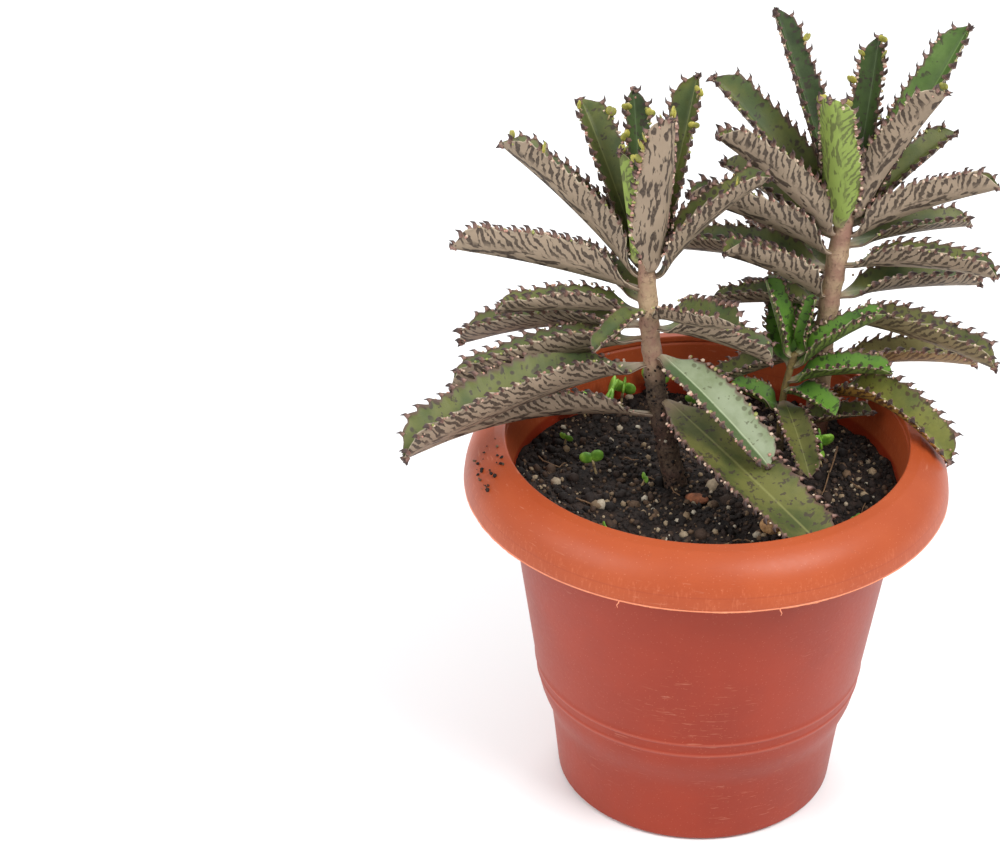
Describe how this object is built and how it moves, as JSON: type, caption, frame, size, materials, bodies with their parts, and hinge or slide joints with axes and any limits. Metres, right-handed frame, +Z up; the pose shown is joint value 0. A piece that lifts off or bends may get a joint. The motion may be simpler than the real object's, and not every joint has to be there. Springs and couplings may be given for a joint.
{
  "type": "potted kalanchoe",
  "caption": "Potted succulent with upright stems and boat-shaped, tooth-edged mottled leaves, in a terracotta-coloured plastic pot with a rolled rim.",
  "frame": {"origin": "middle of the flat underside of the pot, on the pot's own axis", "axes": "+Z up along the pot's axis; -Y is the front, where the two stems stand side by side, left and right"},
  "size_m": [0.2382, 0.2, 0.3246],
  "materials": {
    "pot": "satin",
    "soil": "matte",
    "stem": "matte",
    "leaf": "satin",
    "leaf_young": "satin",
    "stone": "matte"
  },
  "bodies": {
    "root": {"pot": "pot", "pot_rim": "pot", "soil": "soil", "stem_left": "stem", "leaf_left_01": "leaf", "leaf_left_02": "leaf", "leaf_left_03": "leaf", "leaf_left_04": "leaf", "leaf_left_05": "leaf", "leaf_left_06": "leaf", "leaf_left_07": "leaf", "leaf_left_08": "leaf", "leaf_left_09": "leaf", "leaf_left_10": "leaf", "leaf_left_11": "leaf", "leaf_left_12": "leaf", "leaf_left_13": "leaf", "leaf_left_14": "leaf", "leaf_left_15": "leaf", "leaf_left_16": "leaf", "leaf_left_17": "leaf", "leaf_left_18": "leaf", "leaf_left_19": "leaf", "stem_right": "stem", "leaf_right_01": "leaf", "leaf_right_02": "leaf", "leaf_right_03": "leaf", "leaf_right_04": "leaf", "leaf_right_05": "leaf", "leaf_right_06": "leaf", "leaf_right_07": "leaf", "leaf_right_08": "leaf", "leaf_right_09": "leaf", "leaf_right_10": "leaf", "leaf_right_11": "leaf", "leaf_right_12": "leaf", "leaf_right_13": "leaf", "leaf_right_14": "leaf", "leaf_right_15": "leaf", "leaf_right_16": "leaf", "leaf_right_17": "leaf", "leaf_right_18": "leaf", "leaf_right_19": "leaf", "leaf_right_20": "leaf", "leaf_right_21": "leaf", "leaf_right_22": "leaf", "leaf_right_23": "leaf", "leaf_right_24": "leaf", "stem_shoot": "stem", "leaf_shoot_01": "leaf_young", "leaf_shoot_02": "leaf_young", "leaf_shoot_03": "leaf_young", "leaf_shoot_04": "leaf_young", "leaf_shoot_05": "leaf_young", "leaf_shoot_06": "leaf_young", "leaf_shoot_07": "leaf_young", "leaf_shoot_08": "leaf_young", "leaf_shoot_09": "leaf_young", "pebble": "stone", "chip": "stone"}
  },
  "joints": []
}
